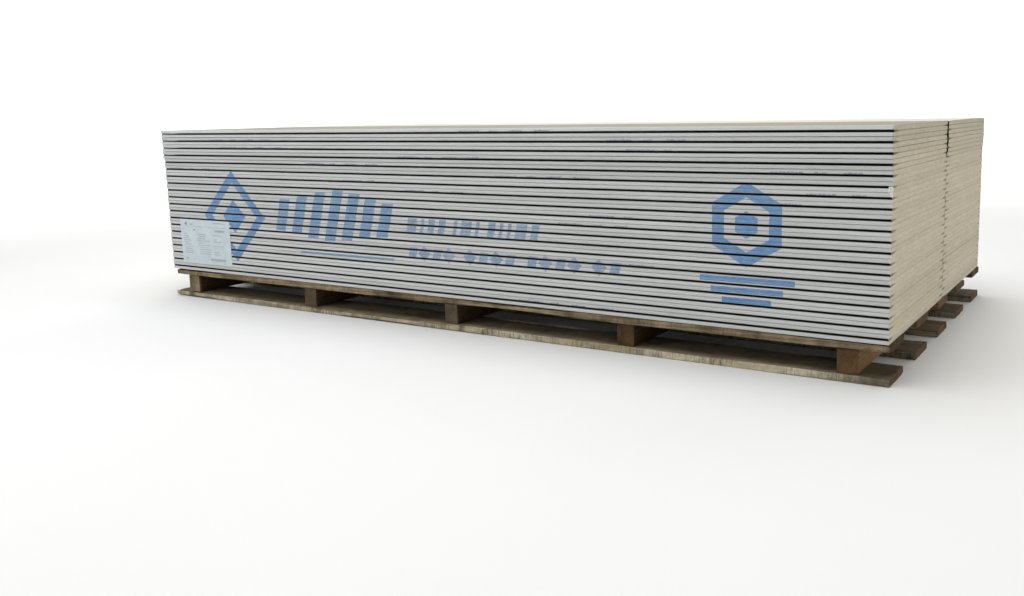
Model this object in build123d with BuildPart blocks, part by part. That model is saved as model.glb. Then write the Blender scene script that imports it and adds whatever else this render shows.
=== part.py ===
from build123d import *
import os

os.makedirs("parts", exist_ok=True)

# Drywall sheet: gypsum core in paper, with a tapered strip along both long edges of its face
sheet_length = 2600
sheet_width = 600
sheet_thickness = 12.5
taper_width = 50
taper_depth = 2.5
edge_radius = 2.4  # the face paper wraps round the long edges

# Two stacks side by side, the sheets of each laid face to face in pairs.
# The front stack ends with a back upwards, the back stack with a face upwards.
layer_count = 40
joint_gap = 1.4  # between the two stacks
loose_front = 8  # top layers of either stack that stand a little further apart
loose_back = 7
front_shift = 3
back_shift = 13
pair_shifts = (0, 1.2, -0.7, 0.5, -1.5, 0.9, -0.3)  # how far each pair slid lengthwise
edge_shifts = (0, 0.5, -0.6, 0.2, 0.5, -0.4)  # and sideways

# Broken corners of two sheets that lie back to back, at the right end of the front stack
broken_corners = {28: (6, 4), 29: (13, 9)}  # layer: length along the edge, depth

# Timber pallet: deck boards, cross bearers and ground boards
pallet_length = sheet_length
pallet_width = 2 * sheet_width
board_thickness = 20
board_width = 135
board_rows = 5
bearer_height = 60
bearer_widths = (56, 54, 48, 51, 52)
board_overhang = 100  # board ends beyond the middle of the outer bearers
bearer_setback = 3  # bearer ends behind the edges of the boards
deck_inset = 12  # deck boards stop short of the left end
pallet_shift = 4  # the load doesn't stand quite in the middle of the pallet
timber_chamfer = 1.5

# Paper label on the front of the load, low at the left end
label_length = 268
label_height = 158
label_thickness = 0.3
label_inset = 60  # from the left end of the sheets
label_bottom = 27  # above the bottom of the stack

# Heights above the floor
bearer_bottom = board_thickness
deck_bottom = bearer_bottom + bearer_height
stack_bottom = deck_bottom + board_thickness

half_width = sheet_width / 2
stack_offset = half_width + joint_gap / 2
row_pitch = (pallet_width - board_width) / (board_rows - 1)
bearer_pitch = (pallet_length - 2 * board_overhang) / (len(bearer_widths) - 1)


def single_sheet(face_up):
    """One drywall sheet on the plane z = 0, with its face up or down."""
    face = sheet_thickness if face_up else 0
    back = sheet_thickness - face
    shoulder = face - taper_depth if face_up else face + taper_depth
    with BuildPart() as sheet:
        with BuildSketch(Plane.YZ.offset(-sheet_length / 2)) as section:
            with BuildLine():
                Polyline(
                    (-half_width, back),
                    (half_width, back),
                    (half_width, shoulder),
                    (half_width - taper_width, face),
                    (taper_width - half_width, face),
                    (-half_width, shoulder),
                    close=True,
                )
            make_face()
            sides = section.vertices().group_by(Axis.X)
            fillet(sides[0] + sides[-1], edge_radius)
        extrude(amount=sheet_length)
    return sheet.part


sheet_face_up = single_sheet(True)
sheet_face_down = single_sheet(False)


def front_place(layer):
    """Where the front stack's sheet of this layer lies."""
    pair = (layer - 1) // 2
    out = stack_offset + edge_shifts[pair % len(edge_shifts)]
    if layer > layer_count - loose_front:
        out = out + front_shift
    slid = pair_shifts[pair % len(pair_shifts)]
    return (slid, -out, stack_bottom + (layer - 1) * sheet_thickness)


def back_place(layer):
    """Where the back stack's sheet of this layer lies."""
    pair = layer // 2
    out = stack_offset + edge_shifts[pair % len(edge_shifts)]
    if layer > layer_count - loose_back:
        out = out + back_shift
    slid = pair_shifts[pair % len(pair_shifts)]
    return (-slid, out, stack_bottom + (layer - 1) * sheet_thickness)


# Layers of sheets, counted from the pallet up: two sheets in each, one in either stack
for layer in range(1, layer_count):
    front_faces_up = layer % 2 == 1
    front_sheet = sheet_face_up if front_faces_up else sheet_face_down
    back_sheet = sheet_face_down if front_faces_up else sheet_face_up
    with BuildPart() as sheet_layer:
        with Locations(front_place(layer)):
            add(front_sheet)
        with Locations(back_place(layer)):
            add(back_sheet)
        if layer in broken_corners:
            broken_length, broken_depth = broken_corners[layer]
            front_x, front_y, front_z = front_place(layer)
            corner_x = front_x + sheet_length / 2
            corner_y = front_y - half_width
            with BuildSketch(Plane.XY.offset(front_z)):
                with BuildLine():
                    Polyline(
                        (corner_x + 1, corner_y - 1),
                        (corner_x + 1, corner_y + broken_depth),
                        (corner_x - broken_length * 0.3, corner_y + broken_depth * 0.55),
                        (corner_x - broken_length, corner_y - 1),
                        close=True,
                    )
                make_face()
            extrude(amount=sheet_thickness, mode=Mode.SUBTRACT)
    name = f"sheet_layer_{layer:02d}"
    sheet_layer.part.label = name
    export_step(sheet_layer.part, f"parts/{name}.step")

# The top sheet of the front stack, with its back up
with BuildPart() as top_sheet_front:
    with Locations(front_place(layer_count)):
        add(sheet_face_down)
top_sheet_front.part.label = "top_sheet_front"
export_step(top_sheet_front.part, "parts/top_sheet_front.step")

# The top sheet of the back stack, with its face up
with BuildPart() as top_sheet_back:
    with Locations(back_place(layer_count)):
        add(sheet_face_up)
top_sheet_back.part.label = "top_sheet_back"
export_step(top_sheet_back.part, "parts/top_sheet_back.step")

# Pallet boards, which run the length of the load
deck_length = pallet_length - deck_inset
for row in range(board_rows):
    row_y = row * row_pitch - (pallet_width - board_width) / 2

    with BuildPart() as ground_board:
        with BuildSketch(Plane.YZ.offset(pallet_shift - pallet_length / 2)) as ground_section:
            with Locations((row_y, board_thickness / 2)):
                Rectangle(board_width, board_thickness)
            chamfer(ground_section.vertices(), timber_chamfer)
        extrude(amount=pallet_length)
    ground_board.part.label = f"ground_board_{row + 1}"
    export_step(ground_board.part, f"parts/ground_board_{row + 1}.step")

    with BuildPart() as deck_board:
        with BuildSketch(Plane.YZ.offset(pallet_shift + pallet_length / 2 - deck_length)) as deck_section:
            with Locations((row_y, deck_bottom + board_thickness / 2)):
                Rectangle(board_width, board_thickness)
            chamfer(deck_section.vertices(), timber_chamfer)
        extrude(amount=deck_length)
    deck_board.part.label = f"deck_board_{row + 1}"
    export_step(deck_board.part, f"parts/deck_board_{row + 1}.step")

# Cross bearers between the boards, with the fork openings between them
bearer_length = pallet_width - 2 * bearer_setback
for place, bearer_width in enumerate(bearer_widths):
    bearer_x = pallet_shift + (place - (len(bearer_widths) - 1) / 2) * bearer_pitch
    with BuildPart() as bearer:
        with BuildSketch(Plane.XZ.offset(-bearer_length / 2)) as bearer_section:
            with Locations((bearer_x, bearer_bottom + bearer_height / 2)):
                Rectangle(bearer_width, bearer_height)
            chamfer(bearer_section.vertices(), timber_chamfer)
        extrude(amount=bearer_length)
    bearer.part.label = f"bearer_{place + 1}"
    export_step(bearer.part, f"parts/bearer_{place + 1}.step")

# Label pasted across the edges of the lower sheets
label_back = stack_offset + half_width + max(edge_shifts)
label_center_x = label_inset + (label_length - sheet_length) / 2
with BuildPart() as paper_label:
    with BuildSketch(Plane.XZ.offset(label_back)):
        with Locations((label_center_x, stack_bottom + label_bottom + label_height / 2)):
            RectangleRounded(label_length, label_height, 3)
    extrude(amount=label_thickness)
paper_label.part.label = "paper_label"
export_step(paper_label.part, "parts/paper_label.step")
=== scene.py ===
import bpy
import bmesh
import math
import random
from mathutils import Matrix, Vector, noise


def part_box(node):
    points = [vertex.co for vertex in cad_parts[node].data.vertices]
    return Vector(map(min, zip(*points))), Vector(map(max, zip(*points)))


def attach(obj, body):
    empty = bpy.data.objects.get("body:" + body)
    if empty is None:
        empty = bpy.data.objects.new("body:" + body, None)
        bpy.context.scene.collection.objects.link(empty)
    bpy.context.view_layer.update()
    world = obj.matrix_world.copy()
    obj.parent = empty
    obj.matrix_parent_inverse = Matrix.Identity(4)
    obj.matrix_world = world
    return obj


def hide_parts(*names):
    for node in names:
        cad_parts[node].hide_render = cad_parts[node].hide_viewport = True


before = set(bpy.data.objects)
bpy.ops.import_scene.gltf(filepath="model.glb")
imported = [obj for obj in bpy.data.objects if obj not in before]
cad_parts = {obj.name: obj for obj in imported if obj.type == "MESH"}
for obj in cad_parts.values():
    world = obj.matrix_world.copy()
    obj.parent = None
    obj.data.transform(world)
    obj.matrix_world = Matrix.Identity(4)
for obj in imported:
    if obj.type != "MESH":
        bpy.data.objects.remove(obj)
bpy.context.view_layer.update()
dice = random.Random(41)

# Camera: fitted to the edges of the load, for a frame of 1024 x 596 px
cameraView = {
    "place": (1.80586, -2.68827, 0.63973),  # metres
    "yaw": -29.978,  # degrees from +Y, negative towards -X
    "pitch": 8.864,  # down
    "roll": -0.984,
    "lens": 32.573, "sensor": 36,  # mm
    "shift": (-0.10802, -0.04096),
    "reach": 60,  # metres that it sees
}


def setCamera(view):
    yaw, pitch, roll = (math.radians(view[key]) for key in ("yaw", "pitch", "roll"))
    ahead = Vector((math.sin(yaw) * math.cos(pitch), math.cos(yaw) * math.cos(pitch), -math.sin(pitch)))
    level = Vector((math.cos(yaw), -math.sin(yaw), 0))
    above = level.cross(ahead)
    right = level * math.cos(roll) + above * math.sin(roll)
    up = above * math.cos(roll) - level * math.sin(roll)
    data = bpy.data.cameras.new("photoCamera")
    data.sensor_width = view["sensor"]
    data.lens = view["lens"]
    data.shift_x, data.shift_y = view["shift"]
    data.clip_end = view["reach"]
    camera = bpy.data.objects.new("photoCamera", data)
    turn = Matrix((right, up, -ahead)).transposed().to_4x4()
    camera.matrix_world = Matrix.Translation(view["place"]) @ turn
    bpy.context.scene.collection.objects.link(camera)
    bpy.context.scene.camera = camera


setCamera(cameraView)
print("camera set")


# Materials

def linearColour(hexText):
    channels = [int(hexText[place:place + 2], 16) / 255 for place in (1, 3, 5)]
    return (*[c / 12.92 if c <= 0.04045 else ((c + 0.055) / 1.055) ** 2.4 for c in channels], 1)


def addNode(tree, kind, settings=None, values=None, links=None):
    node = tree.nodes.new(kind)
    for key, value in (settings or {}).items():
        setattr(node, key, value)
    for key, value in (values or {}).items():
        node.inputs[key].default_value = value
    for key, (source, output) in (links or {}).items():
        tree.links.new(source.outputs[output], node.inputs[key])
    return node


# A Mix node's sockets go by number: its share, two numbers, two colours, and the colour that comes out
mixShare, firstNumber, secondNumber, firstColour, secondColour, mixedColour = 0, 2, 3, 6, 7, 2

growthRings = {
    "span": 0.314,  # metres between the wave texture's rings at scale 1
    "stretch": (0.7, 1, 1), "detail": 3.0, "detailScale": 1.4, "used": (0.15, 0.85),
}


# A finish lists its patterns: stretch, size in metres, detail, the part of the noise used, what it becomes.
# "attributes" are tones kept on the mesh, and "masked" shows one pattern only where another is high.
# "over" lays a colour on the ones before it where a pattern is high, "shade" darkens where one is low,
# and "deep" lays a last colour over them all.
def makeFinish(name, finish):
    material = bpy.data.materials.new(name)
    material.use_nodes = True
    tree = material.node_tree
    shader = tree.nodes["Principled BSDF"]
    for key, value in finish["surface"].items():
        shader.inputs[key].default_value = value
    if "place" in finish:
        place = (addNode(tree, "ShaderNodeAttribute", {"attribute_name": finish["place"]}), "Vector")
    else:
        place = (addNode(tree, "ShaderNodeTexCoord"), "Object")
    found = {}
    for key, (stretch, size, detail, used, becomes) in finish["patterns"].items():
        mapped = addNode(tree, "ShaderNodeMapping", None, {"Scale": stretch}, {"Vector": place})
        raw = addNode(tree, "ShaderNodeTexNoise", None,
                      {"Scale": 1 / size, "Detail": detail, "Roughness": 0.6}, {"Vector": (mapped, 0)})
        limits = {"From Min": used[0], "From Max": used[1], "To Min": becomes[0], "To Max": becomes[1]}
        found[key] = addNode(tree, "ShaderNodeMapRange", None, limits, {"Value": (raw, 0)})
    for key, (attribute, becomes) in finish.get("attributes", {}).items():
        raw = addNode(tree, "ShaderNodeAttribute", {"attribute_name": attribute})
        limits = {"To Min": becomes[0], "To Max": becomes[1]}
        found[key] = addNode(tree, "ShaderNodeMapRange", None, limits, {"Value": (raw, "Fac")})
    if "rings" in finish:  # about the length of the timber
        pitch, warp, lean, becomes = finish["rings"]
        bent = addNode(tree, "ShaderNodeMapping", None, {"Scale": growthRings["stretch"], "Rotation": lean},
                       {"Vector": place})
        values = {"Scale": growthRings["span"] / pitch, "Distortion": warp,
                  "Detail": growthRings["detail"], "Detail Scale": growthRings["detailScale"]}
        raw = addNode(tree, "ShaderNodeTexWave", {"wave_type": "RINGS", "rings_direction": "X"}, values,
                      {"Vector": (bent, 0)})
        used = growthRings["used"]
        limits = {"From Min": used[0], "From Max": used[1], "To Min": becomes[0], "To Max": becomes[1]}
        found["rings"] = addNode(tree, "ShaderNodeMapRange", None, limits, {"Value": (raw, "Fac")})
    for key, mask in finish.get("masked", {}).items():
        found[key] = addNode(tree, "ShaderNodeMix", {"data_type": "FLOAT"}, {firstNumber: 1.0},
                             {mixShare: (found[mask], 0), secondNumber: (found[key], 0)})
    colour = None
    for key, hexText in finish["over"]:
        values = {secondColour: linearColour(hexText)}
        links = {mixShare: (found[key], 0)}
        if colour:
            links[firstColour] = (colour, mixedColour)
        else:
            values[firstColour] = linearColour(finish["base"])
        colour = addNode(tree, "ShaderNodeMix", {"data_type": "RGBA"}, values, links)
    for key in finish.get("shade", ()):
        colour = addNode(tree, "ShaderNodeMix", {"data_type": "RGBA", "blend_type": "MULTIPLY"},
                         {mixShare: 1.0}, {firstColour: (colour, mixedColour), secondColour: (found[key], 0)})
    if "deep" in finish:
        key, hexText = finish["deep"]
        colour = addNode(tree, "ShaderNodeMix", {"data_type": "RGBA"}, {secondColour: linearColour(hexText)},
                         {mixShare: (found[key], 0), firstColour: (colour, mixedColour)})
    tree.links.new(colour.outputs[mixedColour], shader.inputs["Base Color"])
    if "bump" in finish:
        key, height = finish["bump"]
        bump = addNode(tree, "ShaderNodeBump", None, {"Distance": height}, {"Height": (found[key], 0)})
        tree.links.new(bump.outputs["Normal"], shader.inputs["Normal"])
    return material


# Plasterboard liner, machine made from recycled pulp: matt and a little cloudy, with short fibres along it
def linerFinish(hexText, dirtHex, dirt):
    return {
        "surface": {"Roughness": 0.88, "IOR": 1.45, "Specular IOR Level": 0.25}, "base": hexText,
        "patterns": {
            "cloud": ((1, 1, 4), 0.25, 4, (0.42, 0.75), (0, dirt)),
            "fibre": ((0.25, 1, 1), 0.0016, 2, (0.25, 0.75), (0.93, 1)),  # coarser than the 0.1 mm fibres
        },
        "attributes": {"tone": ("sheetTone", (0.66, 1)), "dust": ("groove", (0, 1))},
        # painted shade: near black laid where the mesh marks the wedges, lips and joints between sheets
        "over": [("cloud", dirtHex)], "shade": ("fibre", "tone"), "deep": ("dust", "#0d0c0b"),
        "bump": ("fibre", 0.0008),
    }


# Cut gypsum, sawn across: chalky, with long saw streaks and a cream tint
def gypsumFinish(hexText, shadeHex, pit):
    return {
        "surface": {"Roughness": 0.95, "IOR": 1.52, "Specular IOR Level": 0.15}, "base": hexText,
        "patterns": {
            "streak": ((1, 0.12, 1), 0.004, 4, (0.35, 0.7), (0, 1)),
            "cloud": ((1, 1, 2), 0.12, 4, (0.3, 0.7), (0.92, 1)),
            "pit": ((1, 1, 1), pit, 3, (0, 1), (0, 1)),
        },
        "attributes": {"tone": ("sheetTone", (0.78, 1))},
        "over": [("streak", shadeHex)], "shade": ("cloud", "tone"), "bump": ("pit", 0.00015),
    }


# Softwood, rough sawn and weathered: growth rings run through the board and end as arcs on its ends
def timberFinish(lightHex, darkHex, stainHex, stain, sawn, ring=0.0058, warp=2.2, lean=(0, 0.012, 0.02)):
    return {
        "surface": {"Roughness": 0.9, "IOR": 1.5, "Specular IOR Level": 0.2},
        "base": lightHex, "place": "woodPlace",
        "patterns": {
            "fibre": ((0.04, 1, 1), 0.0016, 3, (0.3, 0.62), (0.74, 1)),
            "saw": ((1, 0.12, 0.16), 0.005, 3, (0.38, 0.56), (1 - 0.62 * sawn, 1)),  # blade marks across
            "patch": ((1, 1, 1), 0.10, 3, (0.40, 0.62), (0.15, 1)),  # where the blade marks show
            "stain": ((0.5, 1, 1), 0.06, 5, (0.48, 0.74), (0, stain)),
            "brown": ((0.3, 1, 1), 0.13, 3, (0.45, 0.7), (0, 0.45)),
            "spots": ((1, 1, 1), 0.02, 3, (0.28, 0.55), (0.84, 1)),
        },
        "attributes": {"tone": ("boardTone", (0, 1))},
        "rings": (ring, warp, lean, (1, 0)), "masked": {"saw": "patch"},
        "over": [("rings", darkHex), ("brown", "#8f7252"), ("stain", stainHex)],
        "shade": ("fibre", "saw", "spots", "tone"), "bump": ("saw", 0.0007),
    }


# Softwood cut across: the rings show about the pith, 8 mm apart, without blade marks
def endGrainFinish(lightHex, darkHex, stainHex, stain):
    return timberFinish(lightHex, darkHex, stainHex, stain, 0.0, 0.008, 2.4, (0, 0, 0))


# Stamping ink, rolled onto the sheet edges: matt blue, thin where the paper is rough
def inkFinish(hexText, thinHex, wear):
    return {
        "surface": {"Roughness": 0.85, "IOR": 1.45, "Specular IOR Level": 0.2}, "base": hexText,
        "patterns": {
            "worn": ((0.4, 1, 1), 0.004, 4, (0.45, 0.75), (0, wear)),
            "thin": ((1, 1, 1), 0.05, 3, (0.45, 0.7), (0, 0.6 * wear)),
        },
        "over": [("worn", thinHex), ("thin", thinHex)],
    }


# Thermal label stock: smooth coated paper with a cool white and soft creases
labelFinish = {
    "surface": {"Roughness": 0.55, "IOR": 1.45}, "base": "#ced8db",
    "patterns": {
        "cloud": ((1, 1, 1), 0.04, 4, (0.35, 0.75), (0, 1)),
        "crease": ((1, 1, 0.3), 0.02, 3, (0, 1), (0, 1)),
    },
    "over": [("cloud", "#bfcacd")], "bump": ("crease", 0.0006),
}

facePaper = makeFinish("ivoryLinerPaper", linerFinish("#d6d7d4", "#b4b2aa", 0.2))
openFacePaper = makeFinish("yellowedLinerPaper", linerFinish("#dbd7ca", "#cdc8b9", 0.3))  # lay in the light
backPaper = makeFinish("greyLinerPaper", linerFinish("#a39c8f", "#877f72", 0.5))
linerEdge = makeFinish("sawnLinerEdge", linerFinish("#c3baa5", "#aca38e", 0.5))
cutGypsum = makeFinish("sawnGypsum", gypsumFinish("#d2cab7", "#c2b8a3", 0.0012))
brokenGypsum = makeFinish("brokenGypsum", gypsumFinish("#f6f3ea", "#e4dfd2", 0.003))
sawnEdge = makeFinish("weatheredSawnPine", timberFinish("#e0d4b9", "#cdbf9f", "#7d6b50", 0.6, 1.0))
deckEdge = makeFinish("brownedSawnPine", timberFinish("#d0bb98", "#b69f7b", "#6b5439", 0.8, 0.6))
# flat faces of the timber: soiled, and made darker still as painted shade, since they lie under the deck and
# load
boardFlat = makeFinish("soiledPine", timberFinish("#a89a80", "#8b7d63", "#4a3e2c", 0.7, 0.3))
bearerSide = makeFinish("brownPine", timberFinish("#9d7d52", "#90724e", "#4a3820", 0.5, 0.4))
endGrain = makeFinish("pineEndGrain", endGrainFinish("#8e6e49", "#866744", "#453520", 0.8))
greyEndGrain = makeFinish("weatheredPineEndGrain", endGrainFinish("#98866a", "#8e7d62", "#54483a", 0.7))
blueInk = makeFinish("blueStampInk", inkFinish("#658ebb", "#97aeca", 0.6))
paleInk = makeFinish("paleStampInk", inkFinish("#7293b8", "#a0b3c8", 0.8))
faintInk = makeFinish("faintStampInk", inkFinish("#8197b2", "#b0bcca", 0.9))
markInk = makeFinish("greyBlueMarkInk", inkFinish("#7c879b", "#b5bac2", 0.6))
greyInk = makeFinish("greyLabelInk", inkFinish("#a3acb0", "#bcc6ca", 0.7))
labelPaper = makeFinish("coatedLabelPaper", labelFinish)
print("materials made")


# Shared mesh helpers

nearby = 0.001  # metres within which a point counts as on a line
sameSpot = 1e-7  # and within which a cut takes the points that are there
squareOn = 0.9  # a face with this much of its normal along an axis looks along it


def cutPlane(bm, spot, normal, openSide=False):
    return bmesh.ops.bisect_plane(bm, geom=bm.verts[:] + bm.edges[:] + bm.faces[:], plane_co=spot,
                                  plane_no=normal, dist=sameSpot, clear_outer=openSide)


def cutAcross(bm, axis, positions):
    normal = Vector((axis == "x", axis == "y", axis == "z"))
    for position in positions:
        cutPlane(bm, normal * position, normal)


def turnToFront(bm):  # flat shapes show their face to the front
    for face in bm.faces:
        face.normal_update()
    bmesh.ops.reverse_faces(bm, faces=[face for face in bm.faces if face.normal.y > 0])


def finishPiece(name, bm, materials, replaced, sharpAngle=35):
    mesh = bpy.data.meshes.new(name)
    for face in bm.faces:
        face.smooth = True
    bm.to_mesh(mesh)
    bm.free()
    mesh.set_sharp_from_angle(angle=math.radians(sharpAngle))
    for material in materials:
        mesh.materials.append(material)
    piece = bpy.data.objects.new(name, mesh)
    bpy.context.scene.collection.objects.link(piece)
    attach(piece, "root")
    if replaced:
        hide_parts(*replaced)


# Drywall sheets
drywallSheet = {
    "length": 2.6, "width": 0.6, "thickness": 0.0125,
    "taperWidth": 0.05, "taperDepth": 0.0025, "edgeRadius": 0.0024,
    "foldedStrip": 0.024,  # face paper turned over onto the back
    "linerAtEnd": 0.0006,  # paper seen at a cut end, drawn thicker than its 0.4 mm to show
    "coreSunk": 0.0002,  # the saw takes a little more of the core than of the paper
    "crossCuts": [-1.294, -1.28, -1.25] + [step * 0.1 for step in range(-12, 13)] + [1.25, 1.28, 1.294],
    "seam": 0.00006, "looseSeam": 0.0006, "looseLayers": 8,  # air between two sheets, more in the top layers
    "edgeWave": 0.0005, "endWave": 0.0003,  # how uneven the long edges and the ends are
    "slide": 0.3,  # share of each pair's slip that is kept
}
sheetSlots = {"face": 0, "back": 1, "core": 2, "broken": 3, "linerEdge": 4}
sheetTonesAndShade = {
    "low": 0.55, "spread": 0.45, "top": 0.9,  # each sheet's own tone, and that of the top sheets
    "upperFade": 0.2, "endFade": 0.9,  # painted shade: edges are darker higher up, and sawn ends close to the top
}
# Painted shade on the sheet edges, where little light reaches between the sheets
paintedSheetShade = {
    "wedge": ((0.0001, 0.95), (0.0004, 0.7), (0.001, 0.15)),  # down to this far below the lip, how dark it is painted
    "backs": 0.4,  # where two backs meet
    "joint": 0.3, "looseJoint": 1.0, "jointReach": 0.003,  # in the joint between the stacks
}
shadeFin = {  # a thin wedge that closes the gap near a cut end to the light, painted dark as shade towards the sheet's edge
    "thickness": 0.001, "fromEnd": 0.0012, "fromEdge": 0.003,
    "dust": {-1: 0.95, 1: 0.45},  # how dark it is painted, at the left and the right end
}
layerCount = 40
brokenCorners = {28: (0.006, 0.004), 29: (0.013, 0.009)}  # layer: length along the edge, depth
brokenKink = (0.3, 0.55)  # where the broken line bends, in shares of these


def addShadeFin(bm, groove, end, sign):
    size = drywallSheet
    outer = size["width"] / 2 - shadeFin["fromEdge"]
    inner = size["width"] / 2 - size["taperWidth"]
    rise = size["taperDepth"]
    verts = bmesh.ops.create_cube(bm, size=1)["verts"]
    bmesh.ops.scale(bm, vec=(shadeFin["thickness"], outer - inner, rise), verts=verts)
    x = end * (size["length"] / 2 - shadeFin["fromEnd"])
    bmesh.ops.translate(bm, vec=(x, sign * (outer + inner) / 2, size["thickness"] - rise / 2), verts=verts)
    for vert in verts:
        if abs(vert.co.y) < (outer + inner) / 2:
            vert.co.z = size["thickness"]
        else:
            vert[groove] = shadeFin["dust"][end]
        for face in vert.link_faces:
            face.material_index = sheetSlots["linerEdge"]
    bmesh.ops.remove_doubles(bm, verts=verts, dist=1e-6)


def paintWedgeShade(bm, groove):  # painted shade: the sides and lips of the wedge between two faces are darkened
    size = drywallSheet
    for vert in bm.verts:
        inward = size["width"] / 2 - abs(vert.co.y)
        belowLip = size["thickness"] - size["taperDepth"] - vert.co.z
        if inward < size["taperWidth"] - nearby:
            vert[groove] = next((dust for depth, dust in paintedSheetShade["wedge"] if belowLip < depth), 0)
        if inward < size["edgeRadius"] * 1.2 and vert.co.z < 0.0002:
            vert[groove] = paintedSheetShade["backs"]


def makeSheetMesh(faceUp, withShadeFins):
    size = drywallSheet
    halfWidth, thick = size["width"] / 2, size["thickness"]
    bm = bmesh.new()
    bmesh.ops.create_cube(bm, size=1)
    bmesh.ops.scale(bm, vec=(size["length"], size["width"], thick), verts=bm.verts)
    bmesh.ops.translate(bm, vec=(0, 0, thick / 2), verts=bm.verts)
    shoulder = halfWidth - size["taperWidth"]
    cutAcross(bm, "y", (-shoulder, shoulder))
    lip = [vert for vert in bm.verts if abs(vert.co.y) > shoulder + nearby and vert.co.z > thick / 2]
    bmesh.ops.translate(bm, vec=(0, 0, -size["taperDepth"]), verts=lip)
    longEdges = [edge for edge in bm.edges
                 if all(abs(vert.co.y) > shoulder + nearby for vert in edge.verts) and edge.calc_length() > 1]
    bmesh.ops.bevel(bm, geom=longEdges, offset=size["edgeRadius"], segments=4, profile=0.5, affect="EDGES",
                    material=-1)
    fold = halfWidth - size["foldedStrip"]
    cutAcross(bm, "y", (-fold, fold, 0))
    bmesh.ops.dissolve_faces(bm, faces=[face for face in bm.faces if abs(face.normal.x) > squareOn])
    ends = [face for face in bm.faces if abs(face.normal.x) > squareOn]
    for face in ends:
        face.material_index = sheetSlots["linerEdge"]
    bmesh.ops.inset_region(bm, faces=ends, thickness=size["linerAtEnd"], depth=-size["coreSunk"],
                           use_even_offset=True)
    for face in ends:
        face.material_index = sheetSlots["core"]
    cutAcross(bm, "x", size["crossCuts"])
    for face in bm.faces:
        if face.normal.z < -squareOn and abs(face.calc_center_median().y) < fold:
            face.material_index = sheetSlots["back"]
    groove = bm.verts.layers.float.new("groove")
    paintWedgeShade(bm, groove)
    if withShadeFins:
        for end in (-1, 1):
            for sign in (-1, 1):
                addShadeFin(bm, groove, end, sign)
    if not faceUp:
        bmesh.ops.rotate(bm, cent=(0, 0, thick / 2), matrix=Matrix.Rotation(math.pi, 3, "X"), verts=bm.verts)
    mesh = bpy.data.meshes.new("sheetMaster")
    bm.to_mesh(mesh)
    bm.free()
    return mesh


sheetMesh = {(faceUp, withShadeFins): makeSheetMesh(faceUp, withShadeFins)
             for faceUp in (True, False) for withShadeFins in (True, False)}


def isLoose(layer):
    return layer > layerCount - drywallSheet["looseLayers"]


def seamOf(layer):
    return drywallSheet["looseSeam" if isLoose(layer) else "seam"]


def facesUp(layer, side):
    return (layer % 2 == 1) == (side == "front")


def layerNode(layer, side):
    if layer == layerCount:
        return "top_sheet_" + side
    return f"sheet_layer_{layer:02d}"


def sheetCorner(layer, side):  # the lowest corner of one of the two sheets in a layer's node
    sign = -1 if side == "front" else 1
    spots = [vert.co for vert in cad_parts[layerNode(layer, side)].data.vertices if vert.co.y * sign > 0]
    return Vector(min(spot[axis] for spot in spots) for axis in range(3))


sheetPlaces = {(layer, side): sheetCorner(layer, side)
               for layer in range(1, layerCount + 1) for side in ("front", "back")}


def edgeWave(x, layer, side, sign):  # how far a long edge draws back from straight
    seed = layer * 3.7 + sign * 1.3 + (50 if side == "back" else 0)
    return drywallSheet["edgeWave"] * (0.5 + 0.5 * noise.noise(Vector((x * 2.2, seed, 0.4))))


def endWave(x, y, layer):  # and a cut end
    return drywallSheet["endWave"] * (0.5 + 0.5 * noise.noise(Vector((y * 3, layer * 2.3, x))))


def placedSheet(layer, side):
    size = drywallSheet
    corner = sheetPlaces[(layer, side)]
    middle = corner + Vector((size["length"] / 2, size["width"] / 2, seamOf(layer) / 2))
    middle.x *= size["slide"]
    squeeze = (size["thickness"] - seamOf(layer)) / size["thickness"]
    openFace = layer == layerCount and side == "back"
    bm = bmesh.new()
    bm.from_mesh(sheetMesh[facesUp(layer, side), not openFace])
    tone = bm.verts.layers.float.new("sheetTone")
    groove = bm.verts.layers.float["groove"]
    rise = layer / layerCount
    # each sheet's own tone, less painted shade that darkens the upper layers and, more steeply, their sawn
    # ends
    shade = sheetTonesAndShade["low"] + sheetTonesAndShade["spread"] * dice.random() - sheetTonesAndShade["upperFade"] * rise ** 3
    endShade = sheetTonesAndShade["low"] + sheetTonesAndShade["spread"] * dice.random() - sheetTonesAndShade["endFade"] * rise ** 5
    if layer == layerCount:
        shade = sheetTonesAndShade["top"]
    inner = 1 if side == "front" else -1
    for vert in bm.verts:
        vert[tone] = shade
        x, y, z = vert.co
        sign = 1 if y > 0 else -1
        if openFace:
            vert[groove] = 0
        # painted shade along the joint between the two stacks, darkest in the loose top layers
        if y * inner > size["width"] / 2 - paintedSheetShade["jointReach"]:
            vert[groove] = paintedSheetShade["looseJoint" if isLoose(layer) else "joint"]
        if abs(y) > size["width"] / 2 - size["taperWidth"] / 2:
            y -= sign * edgeWave(x, layer, side, sign)
        if abs(x) > size["length"] / 2 - nearby:
            x -= math.copysign(endWave(x, y, layer), x)
            vert[tone] = endShade
        vert.co = Vector((x, y, z * squeeze)) + middle
    if side == "front" and layer in brokenCorners:
        breakCorner(bm, layer, corner)
    return bm


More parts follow.
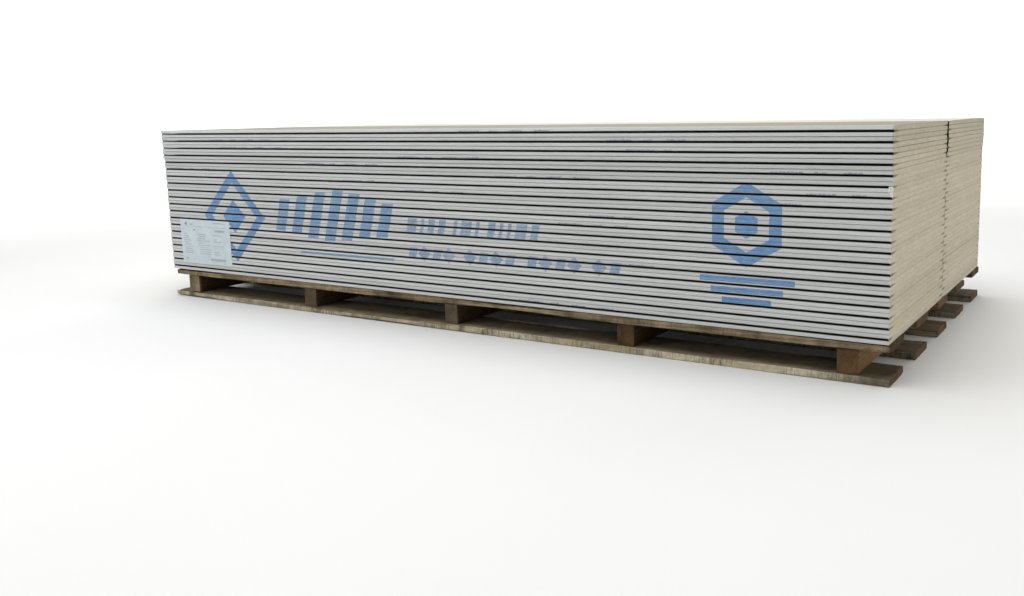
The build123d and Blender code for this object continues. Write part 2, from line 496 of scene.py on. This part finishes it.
def breakCorner(bm, layer, corner):
    alongEdge, depth = brokenCorners[layer]
    tip = corner + Vector((drywallSheet["length"], 0, drywallSheet["thickness"] / 2))
    first = tip + Vector((-alongEdge, 0, 0))
    second = tip + Vector((-alongEdge * brokenKink[0], depth * brokenKink[1], 0))
    third = tip + Vector((0, depth, 0))
    for start, end in ((first, second), (second, third)):
        out = Vector((end.y - start.y, start.x - end.x, 0)).normalized()
        out = out if out.dot(tip - start) > 0 else -out
        cut = cutPlane(bm, start, out, openSide=True)
        rim = [edge for edge in cut["geom_cut"] if isinstance(edge, bmesh.types.BMEdge) and edge.is_boundary]
        filled = bmesh.ops.holes_fill(bm, edges=rim, sides=0)
        for face in filled["faces"]:
            face.material_index = sheetSlots["broken"]


crushedCore = {
    "layer": 29,
    "lumps": (  # pressed out of the broken corner: place from the sheet's tip, then radii
        (0.0092, 0.0042, 0.0070, 0.0036, 0.0040, 0.0066), (0.0040, 0.0040, 0.0080, 0.0027, 0.0038, 0.0062),
        (0.0052, 0.0044, 0.0128, 0.0046, 0.0042, 0.0023), (0.0050, 0.0046, 0.0000, 0.0038, 0.0042, 0.0022),
    ),
    "inside": 0.0004,  # kept behind the sheet's edge and end
}


def addCrushedCore(bm, tone):
    tip = sheetPlaces[(crushedCore["layer"], "front")] + Vector((drywallSheet["length"], 0, 0))
    for back, deep, up, *radii in crushedCore["lumps"]:
        middle = tip + Vector((-back, deep, up))
        spread = Matrix.Translation(middle) @ Matrix.Diagonal((*radii, 1))
        lump = bmesh.ops.create_icosphere(bm, subdivisions=3, radius=1, matrix=spread)
        for vert in lump["verts"]:
            rough = 0.85 + 0.4 * noise.noise(vert.co * 420) + 0.25 * noise.noise(vert.co * 1100)
            vert.co = middle + (vert.co - middle) * rough
            vert.co.y = max(vert.co.y, tip.y + crushedCore["inside"])
            vert.co.x = min(vert.co.x, tip.x - crushedCore["inside"])
            vert[tone] = 1.0
            for face in vert.link_faces:
                face.material_index = sheetSlots["broken"]


def stackPiece(name, side, layers, replaced, paper=facePaper):
    whole = bmesh.new()
    spare = bpy.data.meshes.new("spareSheet")
    whole.verts.layers.float.new("groove")
    whole.verts.layers.float.new("sheetTone")
    for layer in layers:
        one = placedSheet(layer, side)
        one.to_mesh(spare)
        one.free()
        whole.from_mesh(spare)
    bpy.data.meshes.remove(spare)
    if side == "front" and crushedCore["layer"] in layers:
        addCrushedCore(whole, whole.verts.layers.float["sheetTone"])
    papers = (paper, backPaper, cutGypsum, brokenGypsum, linerEdge)
    finishPiece(name, whole, papers, replaced, 28)


lowerLayers = range(1, layerCount)
lowerNodes = [layerNode(layer, "front") for layer in lowerLayers]
stackPiece("frontStackSheets", "front", lowerLayers, lowerNodes)
stackPiece("backStackSheets", "back", lowerLayers, lowerNodes)
stackPiece("topSheetFront", "front", (layerCount,), ["top_sheet_front"])
stackPiece("topSheetBack", "back", (layerCount,), ["top_sheet_back"], openFacePaper)
print("sheets stacked")


# Pallet
palletTimber = {
    "inset": 0.0002,  # smaller than its solid by this much
    "arris": 0.0016,  # rounding of the long edges
    "cutPitch": 0.012, "cutsAcross": 6, "cutsUp": 4,  # how finely a piece is divided
    "skin": 0.0025,  # metres within which a point lies on a face
    "wear": 0.0011,  # taken off the faces at most
    "wane": 0.006, "waneFrom": 0.12,  # bark edge left by the saw, and where its noise begins to show
    "pithReach": {0: 0.09, 1: 0.02},  # the cross bearers are cut nearer the pith
    "insideTone": 0.3,  # painted shade on the timber inside the pallet
    "outerTone": 1.3,  # the outer bearers' outer sides
    "coveredEdgeTone": 0.5, "overhangTone": 0.8,  # painted shade on the boards behind the front row: edges, and what sticks out
    "unevenness": 0.12, "frontPatches": 0.5, "toneRange": (0.05, 1.3),
}
outerBearers = ("bearer_1", "bearer_5")
timberSlots = {"side": 0, "flat": 1, "end": 2}
# tone along a piece: place in metres, then tone. Ground board 1 darkens steeply over its last 0.2 m at the
# right, as painted shade
toneAndShadeAlong = {
    "deck_board_1": ((-1.3, 0.6), (1.3, 0.52)),
    "ground_board_1": ((-1.3, 0.85), (0.2, 1.0), (1.1, 1.05), (1.3, 0.42)),
}
# cut ends against the rest of a board: left, right
boardEndTones = {"deck_board_1": (0.66, 0.5), "ground_board_1": (0.85, 1.3)}
otherEndTones = (1.0, 0.73)
frontEndTones = {"bearer_1": 1.3, "bearer_2": 0.46, "bearer_3": 0.44, "bearer_4": 0.43, "bearer_5": 0.58}
greyEnds = ("bearer_1", "bearer_2", "bearer_3")
# water stains on the front edges: place along the board, half width, strength
stainSpots = {
    "ground_board_1": ((-1.214, 0.022, 0.75), (-0.56, 0.02, 0.45), (0.043, 0.012, 0.7), (0.647, 0.010, 0.6),
                       (0.31, 0.03, 0.25), (-0.9, 0.04, 0.2)),
    "deck_board_1": ((-0.23, 0.06, 0.6), (0.42, 0.03, 0.3), (-0.95, 0.05, 0.25), (1.24, 0.03, 0.3),
                     (0.02, 0.02, 0.35)),
}


def cutTimber(size, along):
    across = 1 - along
    bm = bmesh.new()
    bmesh.ops.create_cube(bm, size=1)
    bmesh.ops.scale(bm, vec=size - Vector((1, 1, 1)) * palletTimber["inset"], verts=bm.verts)
    longEdges = [edge for edge in bm.edges if edge.calc_length() > size[along] - 0.01]
    bmesh.ops.bevel(bm, geom=longEdges, offset=palletTimber["arris"], segments=2, profile=0.5, affect="EDGES",
                    material=-1)
    for face in bm.faces:
        if abs(face.normal[along]) > squareOn:
            face.material_index = timberSlots["end"]
        elif abs(face.normal.z) > squareOn:
            face.material_index = timberSlots["flat"]
    for axis, parts in ((along, int(size[along] / palletTimber["cutPitch"])),
                        (across, palletTimber["cutsAcross"]), (2, palletTimber["cutsUp"])):
        cutAcross(bm, "xyz"[axis], [(step / parts - 0.5) * size[axis] for step in range(1, parts)])
    return bm


def toneAlong(stops, x):
    x = max(stops[0][0], min(stops[-1][0], x))
    for (start, first), (stop, last) in zip(stops, stops[1:]):
        if x <= stop:
            return first + (last - first) * (x - start) / (stop - start)


def isNear(spot, size, axis):  # on either of the two faces along this axis
    return abs(spot[axis]) > size[axis] / 2 - palletTimber["skin"]


def timberTone(node, spot, middle, size, along, stops, seed):
    x = spot.x + middle.x
    onFront = isNear(spot, size, 1) and spot.y < 0
    tone = toneAlong(stops, x)
    tone += palletTimber["unevenness"] * noise.noise(Vector((spot[along] * 3, seed, 5)))
    # painted shade: inside the pallet the bearers' faces and the boards behind the front row are darkened
    if along:
        outerSide = node in outerBearers and abs(x) > abs(middle.x) + 0.02
        if not isNear(spot, size, 1):
            tone *= palletTimber["outerTone" if outerSide else "insideTone"]
    elif not node.endswith("_1"):  # behind the front row
        if onFront:
            tone *= palletTimber["coveredEdgeTone"]
        else:
            tone *= palletTimber["overhangTone" if abs(x) > 1.2 else "insideTone"]
    if onFront:
        for place, halfWidth, strength in stainSpots.get(node, ()):
            offset = abs(x - place) / halfWidth
            tone *= 1 - strength * max(0, 1 - offset ** 2)
        patch = noise.noise(Vector((spot.x * 36, seed, spot.z * 28)))
        tone *= frontEndTones.get(node, 1) * (1 + palletTimber["frontPatches"] * patch)
    if not along and isNear(spot, size, 0):
        tone *= boardEndTones.get(node, otherEndTones)[spot.x > 0]
    low, high = palletTimber["toneRange"]
    return max(low, min(high, tone))


def wearTimber(vert, spot, size, along, seed):
    across = 1 - along
    for axis in range(3):
        if isNear(spot, size, axis):
            bite = noise.noise(Vector((spot[along] * 14, spot[across] * 30 + seed, spot.z * 60 + axis * 9)))
            bite += 0.6 * noise.noise(Vector((spot[along] * 70, spot[across] * 60 + seed, spot.z * 150)))
            vert.co[axis] -= math.copysign(palletTimber["wear"] * max(0, 0.5 + 0.5 * bite), spot[axis])
    if along == 0 and isNear(spot, size, across) and isNear(spot, size, 2):
        bark = noise.noise(Vector((spot.x * 2.1, seed + spot[across] * 40, spot.z * 300)))
        if bark > palletTimber["waneFrom"]:
            depth = (bark - palletTimber["waneFrom"]) * palletTimber["wane"] * 3
            vert.co[across] -= math.copysign(depth * 0.5, spot[across])
            vert.co.z -= math.copysign(depth, spot.z)


def makeTimberPiece(node):
    low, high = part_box(node)
    size, middle = high - low, (low + high) / 2
    along = 0 if size.x > size.y else 1
    bm = cutTimber(size, along)
    woodPlace = bm.verts.layers.float_vector.new("woodPlace")
    boardTone = bm.verts.layers.float.new("boardTone")
    plain = 0.7 + 0.3 * dice.random()
    stops = toneAndShadeAlong.get(node, ((-1.3, plain), (1.3, plain)))
    reach = palletTimber["pithReach"][along]
    pith = Vector((dice.random() * 30, (dice.random() - 0.5) * reach, (0.2 + dice.random()) * reach * 0.5))
    seed = dice.random() * 40
    for vert in bm.verts:
        spot = vert.co.copy()
        vert[woodPlace] = Vector((spot[along], spot[1 - along], spot.z)) + pith
        vert[boardTone] = timberTone(node, spot, middle, size, along, stops, seed)
        wearTimber(vert, spot, size, along, seed)
        vert.co += middle
    pieceName = "".join(word.capitalize() if place else word for place, word in enumerate(node.split("_")))
    side = bearerSide if along else deckEdge if node.startswith("deck") else sawnEdge
    end = greyEndGrain if node in greyEnds else endGrain
    finishPiece(pieceName, bm, (side, boardFlat, end), [node], 40)


for node in sorted(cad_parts):
    if node.startswith(("deck_board", "ground_board", "bearer")):
        makeTimberPiece(node)
print("pallet made")


# Blue edge print: shapes drawn flat on the front, then cut into the strips that lie on each sheet edge
edgePrint = {
    "lift": 0.00018,  # over the paper
    "bare": 0.0007,  # unprinted at both sides of an edge
    "curveCuts": (0.0015, 0.0024),  # so that it follows the rounded edge
    "cutPitch": 0.05, "cuts": 25,
}
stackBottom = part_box("sheet_layer_01")[0].z


def addBox(bm, x, z, width, height, slant=0.0):  # x and z of its lower left corner
    verts = bmesh.ops.create_grid(bm, x_segments=1, y_segments=1, size=0.5)["verts"]
    bmesh.ops.rotate(bm, cent=(0, 0, 0), matrix=Matrix.Rotation(math.pi / 2, 3, "X"), verts=verts)
    bmesh.ops.scale(bm, vec=(width, 1, height), verts=verts)
    bmesh.ops.translate(bm, vec=(x + width / 2, 0, z + height / 2), verts=verts)
    for vert in verts:
        vert.co.x += slant * (vert.co.z - z)


def addRing(bm, x, z, radius, hole, corners, turn=0.0):
    verts = bmesh.ops.create_circle(bm, cap_ends=True, segments=corners, radius=radius)["verts"]
    if hole:
        face = verts[0].link_faces[0]
        bmesh.ops.inset_region(bm, faces=[face], thickness=(radius - hole) * math.cos(math.pi / corners),
                               use_boundary=True)
        verts = list({vert for edge in face.edges for vert in edge.verts} | set(verts))
        bmesh.ops.delete(bm, geom=[face], context="FACES_ONLY")
    spin = Matrix.Rotation(math.pi / 2, 3, "X") @ Matrix.Rotation(turn, 3, "Z")
    bmesh.ops.rotate(bm, cent=(0, 0, 0), matrix=spin, verts=verts)
    bmesh.ops.translate(bm, vec=(x, 0, z), verts=verts)


def edgeSetBack(near):  # how far the rounded edge lies back, this near its rim
    radius = drywallSheet["edgeRadius"]
    if near >= radius:
        return 0
    return radius - math.sqrt(max(radius ** 2 - (radius - near) ** 2, 0))


def layOnEdges(bm):
    size = drywallSheet
    whole = bmesh.new()
    spare = bpy.data.meshes.new("spareInk")
    flat = bpy.data.meshes.new("flatInk")
    bm.to_mesh(flat)
    bm.free()
    first, second = edgePrint["curveCuts"]
    for layer in range(1, layerCount + 1):
        corner = sheetPlaces[(layer, "front")]
        seam = seamOf(layer)
        low = corner.z + seam / 2 + (0 if facesUp(layer, "front") else size["taperDepth"])
        high = low + size["thickness"] - size["taperDepth"] - seam
        one = bmesh.new()
        one.from_mesh(flat)
        cutPlane(one, (0, 0, low + edgePrint["bare"]), (0, 0, -1), openSide=True)
        cutPlane(one, (0, 0, high - edgePrint["bare"]), (0, 0, 1), openSide=True)
        if one.faces:
            cutAcross(one, "z", [low + first, low + second, high - second, high - first])
            cuts = edgePrint["cuts"]
            cutAcross(one, "x", [step * edgePrint["cutPitch"] for step in range(-cuts, cuts + 1)])
            for vert in one.verts:
                near = min(vert.co.z - low, high - vert.co.z)
                wave = edgeWave(vert.co.x, layer, "front", -1)
                vert.co.y = corner.y + wave + edgeSetBack(near) - edgePrint["lift"]
            one.to_mesh(spare)
            whole.from_mesh(spare)
        one.free()
    for mesh in (spare, flat):
        bpy.data.meshes.remove(mesh)
    turnToFront(whole)
    return whole


# Emblems: a diamond in a diamond, partly under the label, and a six-sided ring over three bars.
# "up" is the height over the bottom of the stack, here and below.
emblems = (
    {"x": -0.942, "up": 0.205, "radius": 0.158, "hole": 0.098, "core": 0.058, "corners": 4},
    {"x": 0.95, "up": 0.262, "radius": 0.105, "hole": 0.062, "core": 0.034, "corners": 6},
)
emblemBars = {"x": 0.825, "up": 0.118, "length": 0.25, "height": 0.014, "count": 3,
              "inward": 0.03, "down": 0.026}  # from one bar to the next, at both ends


def drawEmblems():
    bm = bmesh.new()
    for emblem in emblems:
        x, z, corners = emblem["x"], stackBottom + emblem["up"], emblem["corners"]
        addRing(bm, x, z, emblem["radius"], emblem["hole"], corners)
        addRing(bm, x, z, emblem["core"], 0, corners)
    for step in range(emblemBars["count"]):
        inward = step * emblemBars["inward"]
        z = stackBottom + emblemBars["up"] - step * emblemBars["down"]
        addBox(bm, emblemBars["x"] + inward, z, emblemBars["length"] - 2 * inward, emblemBars["height"])
    return layOnEdges(bm)


# Row of slanted bars, tall in the middle, over a thin line
slantedBars = {
    "x": -0.735, "pitch": 0.076, "up": 0.168, "width": 0.047, "height": 0.105, "slant": 0.3,
    "taller": (0.00, 0.02, 0.045, 0.06, 0.045, 0.02, 0.00), "downShare": 0.4,  # share of it that goes down
    "line": (-0.62, 0.098, 0.41, 0.007),  # x, up, length, height
}


def drawBars():
    bm = bmesh.new()
    bars = slantedBars
    for step, taller in enumerate(bars["taller"]):
        z = stackBottom + bars["up"] - taller * bars["downShare"]
        addBox(bm, bars["x"] + step * bars["pitch"], z, bars["width"], bars["height"] + taller, bars["slant"])
    x, up, length, height = bars["line"]
    addBox(bm, x, stackBottom + up, length, height)
    return layOnEdges(bm)


# Row of upright blocks, and below it a row of blocks and diamonds in turn
blockRow = {
    "x": -0.155, "up": 0.188, "height": 0.045, "slant": 0.25, "unit": 0.0125, "space": 0.016,
    "units": (3, 1, 2, 2, 0, 1, 3, 1, 0, 2, 1, 1, 3, 2),  # width of each, 0 for a gap
}
diamondRow = {
    "x": -0.15, "count": 17, "group": 5, "gap": 0.03,  # every fifth place is a gap
    "blockUp": 0.110, "block": (0.030, 0.034), "blockPitch": 0.046, "slant": 0.25,
    "diamondUp": 0.128, "radius": 0.024, "inset": 0.018, "diamondPitch": 0.049,
}


def drawRows():
    bm = bmesh.new()
    x = blockRow["x"]
    for units in blockRow["units"]:
        width = blockRow["unit"] * units
        if units:
            addBox(bm, x, stackBottom + blockRow["up"], width, blockRow["height"], blockRow["slant"])
        x += width + blockRow["space"]
    row = diamondRow
    x = row["x"]
    for step in range(row["count"]):
        if step % row["group"] == row["group"] - 1:
            x += row["gap"]
        elif step % 2:
            addRing(bm, x + row["inset"], stackBottom + row["diamondUp"], row["radius"], 0, 4)
            x += row["diamondPitch"]
        else:
            addBox(bm, x, stackBottom + row["blockUp"], *row["block"], row["slant"])
            x += row["blockPitch"]
    return layOnEdges(bm)


finishPiece("blueEdgePrint", drawEmblems(), (blueInk,), None)
finishPiece("paleEdgePrint", drawBars(), (paleInk,), None)
finishPiece("faintEdgePrint", drawRows(), (faintInk,), None)

# Rows of small dashes that line up along the lower lip of some sheets
edgeMarks = {
    "rows": ((40, 0.07, 4), (38, 0.56, 3), (38, -1.04, 4), (36, 0.62, 2), (36, -0.98, 4), (34, -0.17, 4),
             (32, -0.57, 4), (32, 1.01, 3), (30, -1.27, 3), (30, 0.19, 4), (28, -0.41, 2), (28, 1.1, 2),
             (26, 1.01, 1), (26, -0.15, 3), (22, 0.5, 2), (20, 0.4, 3), (12, 0.62, 1),
             (2, 0.26, 4)),  # layer, where it starts, how many groups
    "groups": ((0.0, 0.074), (0.108, 0.024), (0.176, 0.042), (0.262, 0.046)),  # start, length in a row
    "dash": 0.0085, "space": 0.0022, "height": 0.0026,
    "up": 0.0028, "unevenness": 0.0008,
}


def drawMarks():
    bm = bmesh.new()
    for layer, rowStart, count in edgeMarks["rows"]:
        bottom = sheetPlaces[(layer, "front")].z
        for offset, length in edgeMarks["groups"][:count]:
            x = rowStart + offset
            while x < rowStart + offset + length:
                dash = edgeMarks["dash"] * (0.6 + 0.8 * dice.random())
                z = bottom + edgeMarks["up"] + edgeMarks["unevenness"] * dice.random()
                addBox(bm, x, z, dash, edgeMarks["height"] * (0.7 + 0.5 * dice.random()))
                x += dash + edgeMarks["space"]
    return layOnEdges(bm)


finishPiece("edgeMarks", drawMarks(), (markInk,), None)
print("edges printed")


# Label
paperLabel = {
    "cornerRadius": 0.003, "cutsAcross": 12, "cutsUp": 48,
    "pitch": 0.025, "press": 0.0007,  # pressed into the gaps between the pairs of sheets
    "setBack": 0.00015, "inkLift": 0.00012,
    # print, in shares of the label: x, z and width, then its height in metres
    "blocks": ((0.66, 0.93, 0.26, 0.003), (0.70, 0.74, 0.20, 0.008), (0.06, 0.84, 0.88, 0.0012),
               (0.58, 0.09, 0.30, 0.008)),
    "lines": 10, "topLine": 0.66, "linePitch": 0.048, "lineHeight": 0.0024,
    # small dark signs: x and z in shares of the label, then width and height in metres
    "signs": ((0.20, 0.88, 0.014, 0.0035), (0.26, 0.75, 0.012, 0.005), (0.07, 0.09, 0.010, 0.004)),
    "triangle": (0.12, 0.90, 0.0095),  # x, z, radius
}


def labelRows():
    rows = list(paperLabel["blocks"])
    height = paperLabel["lineHeight"]
    for line in range(paperLabel["lines"]):
        z = paperLabel["topLine"] - line * paperLabel["linePitch"]
        rows.append((0.06, z, 0.06 + 0.14 * dice.random(), height))
        rows.append((0.32 + 0.05 * dice.random(), z, 0.08 + 0.18 * dice.random(), height))
        if line % 3 != 1:
            rows.append((0.66, z, 0.06 + 0.2 * dice.random(), height))
    return rows


def pressIntoGaps(bm):
    for vert in bm.verts:
        phase = (vert.co.z - stackBottom) / paperLabel["pitch"] - 0.5
        pressed = max(0, math.cos(2 * math.pi * phase)) ** 6
        vert.co.y += paperLabel["press"] * pressed + paperLabel["setBack"]


def makeLabel():
    low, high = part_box("paper_label")
    width, height = high.x - low.x, high.z - low.z
    across, up = paperLabel["cutsAcross"], paperLabel["cutsUp"]
    acrossCuts = [low.x + width * step / across for step in range(1, across)]
    upCuts = [low.z + height * step / up for step in range(1, up)]
    paper = bmesh.new()
    bmesh.ops.create_cube(paper, size=1)
    bmesh.ops.scale(paper, vec=high - low, verts=paper.verts)
    bmesh.ops.translate(paper, vec=(low + high) / 2, verts=paper.verts)
    corners = [edge for edge in paper.edges if edge.calc_length() < 0.001]
    bmesh.ops.bevel(paper, geom=corners, offset=paperLabel["cornerRadius"], segments=3, profile=0.5,
                    affect="EDGES", material=-1)
    cutAcross(paper, "x", acrossCuts)
    cutAcross(paper, "z", upCuts)
    printed = bmesh.new()
    for x, z, wide, tall in labelRows():
        addBox(printed, low.x + x * width, low.z + z * height, wide * width, tall)
    signs = bmesh.new()
    x, z, radius = paperLabel["triangle"]
    addRing(signs, low.x + x * width, low.z + z * height, radius, 0, 3, math.pi / 2)
    for x, z, wide, tall in paperLabel["signs"]:
        addBox(signs, low.x + x * width, low.z + z * height, wide, tall)
    for ink in (printed, signs):
        cutAcross(ink, "z", upCuts)
        for vert in ink.verts:
            vert.co.y = low.y - paperLabel["inkLift"]
        turnToFront(ink)
    for layer in (paper, printed, signs):
        pressIntoGaps(layer)
    finishPiece("paperLabel", paper, (labelPaper,), ["paper_label"])
    finishPiece("labelPrint", printed, (greyInk,), None)
    finishPiece("labelSigns", signs, (markInk,), None)


makeLabel()
print("label made")


# Studio: pale floor that sweeps up behind, and soft light
studio = {
    "floor": "#f2f2f0", "cloud": "#eeeeec", "turn": 30, "width": 60, "far": 14, "bend": 7,
    "wall": 20, "rim": 3.0,  # the wall behind, and a low one on the other sides
    "glow": (2.6, 7.5, 0.6),  # the floor is lit from below between these distances, up to this strength
    "sky": "#f4f6f8", "skyLight": 0.36,
    "lights": (  # name, place, size, watts, colour, what it is aimed at
        ("overhead", (-0.1, -0.6, 3.6), 3.6, 114, "#ffffff", (0, 0, 0.3)),
        ("frontSoft", (-3.3, -4.3, 1.9), 2.6, 42, "#eef4ff", (-0.5, 0, 0.3)),
        ("rightSoft", (5.2, 0.4, 1.9), 2.2, 38, "#fff8f0", (1.3, 0, 0.1)),
        ("backdropWash", (-4.5, 3.5, 8.0), 14.0, 400, "#ffffff", (-9.0, 11.5, 2)),
    ),
}


def raiseWall(bm, edges, height):
    raised = bmesh.ops.extrude_edge_only(bm, edges=edges)
    tops = [item for item in raised["geom"] if isinstance(item, bmesh.types.BMVert)]
    bmesh.ops.translate(bm, vec=(0, 0, height), verts=tops)


# Backdrop paper, rolled: matt, even and nearly white
def makeBackdropPaper():
    paper = makeFinish("matteBackdropPaper", {
        "surface": {"Roughness": 0.95, "Emission Color": (1, 1, 1, 1)}, "base": studio["floor"],
        "over": [("cloud", studio["cloud"])], "patterns": {"cloud": ((1, 1, 1), 1.7, 2, (0.3, 0.7), (0, 1))},
    })
    tree = paper.node_tree
    start, full, strength = studio["glow"]
    place = addNode(tree, "ShaderNodeTexCoord")
    reach = addNode(tree, "ShaderNodeVectorMath", {"operation": "LENGTH"}, None, {0: (place, "Object")})
    glow = addNode(tree, "ShaderNodeMapRange", {"interpolation_type": "SMOOTHSTEP"},
                   {"From Min": start, "From Max": full, "To Max": strength}, {"Value": (reach, "Value")})
    tree.links.new(glow.outputs[0], tree.nodes["Principled BSDF"].inputs["Emission Strength"])
    return paper


def makeFloor():
    half = studio["width"] / 2
    bm = bmesh.new()
    bmesh.ops.create_grid(bm, x_segments=1, y_segments=1, size=half)
    bmesh.ops.translate(bm, vec=(0, studio["far"] - half, 0), verts=bm.verts)
    far = [edge for edge in bm.edges if all(vert.co.y > studio["far"] - nearby for vert in edge.verts)]
    raiseWall(bm, far, studio["wall"])
    bmesh.ops.bevel(bm, geom=far, offset=studio["bend"], segments=24, profile=0.5, affect="EDGES",
                    material=-1)
    rim = [edge for edge in bm.edges
           if edge.is_boundary and all(abs(vert.co.z) < nearby for vert in edge.verts)]
    raiseWall(bm, rim, studio["rim"])
    turn = Matrix.Rotation(math.radians(studio["turn"]), 3, "Z")
    bmesh.ops.rotate(bm, cent=(0, 0, 0), matrix=turn, verts=bm.verts)
    bmesh.ops.recalc_face_normals(bm, faces=bm.faces)
    for face in bm.faces:
        face.smooth = True
    mesh = bpy.data.meshes.new("studioFloor")
    bm.to_mesh(mesh)
    bm.free()
    mesh.materials.append(makeBackdropPaper())
    floor = bpy.data.objects.new("studioFloor", mesh)
    bpy.context.scene.collection.objects.link(floor)


def makeLights():
    world = bpy.data.worlds.new("softStudio")
    world.use_nodes = True
    background = world.node_tree.nodes["Background"]
    background.inputs["Color"].default_value = linearColour(studio["sky"])
    background.inputs["Strength"].default_value = studio["skyLight"]
    bpy.context.scene.world = world
    for name, place, size, power, hexText, target in studio["lights"]:
        data = bpy.data.lights.new(name, "AREA")
        data.size = size
        data.energy = power
        data.color = linearColour(hexText)[:3]
        light = bpy.data.objects.new(name, data)
        light.location = place
        aim = Vector(target) - Vector(place)
        light.rotation_euler = aim.to_track_quat("-Z", "Y").to_euler()
        bpy.context.scene.collection.objects.link(light)


makeFloor()
makeLights()
bpy.context.scene.view_settings.view_transform = "Standard"
print("studio lit")
